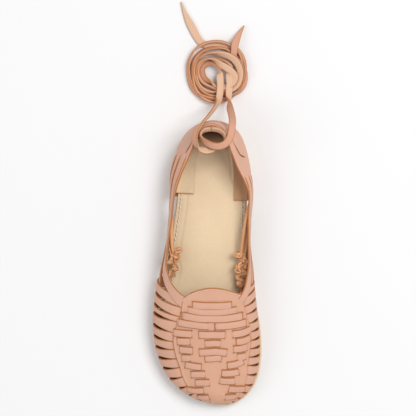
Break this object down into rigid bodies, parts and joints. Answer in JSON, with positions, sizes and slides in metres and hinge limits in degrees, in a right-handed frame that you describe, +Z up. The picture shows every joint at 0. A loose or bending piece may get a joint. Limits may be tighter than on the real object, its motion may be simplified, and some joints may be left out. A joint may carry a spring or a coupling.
{
  "type": "huarache sandal",
  "caption": "Closed-toe woven leather huarache sandal with open sides, a heel counter and a flat leather ankle lace wound in a coil behind it",
  "frame": {"origin": "on the floor under the middle of the sandal's bounding box, the lace left out", "axes": "+X to the medial (big toe) side, -Y to the toe, +Y to the heel, +Z up from the sole"},
  "size_m": [0.0946, 0.3548, 0.0634],
  "materials": {
    "sole_leather": "matte natural sole leather with a burnished edge",
    "insole_leather": "smooth natural vegetable tanned leather",
    "upper_leather": "smooth pinkish tan leather with raw orange-brown cut edges",
    "lace_leather": "flat leather lace, smooth grain side and rough pale flesh side"
  },
  "bodies": {
    "root": {"outsole": "sole_leather", "insole": "insole_leather", "upper": "upper_leather", "knot_lateral": "upper_leather", "knot_medial": "upper_leather", "lace_knot": "lace_leather", "lace_left_run": "lace_leather", "lace_right_run": "lace_leather", "lace_coil": "lace_leather", "lace_left_tail": "lace_leather", "lace_right_tail": "lace_leather"}
  },
  "joints": []
}
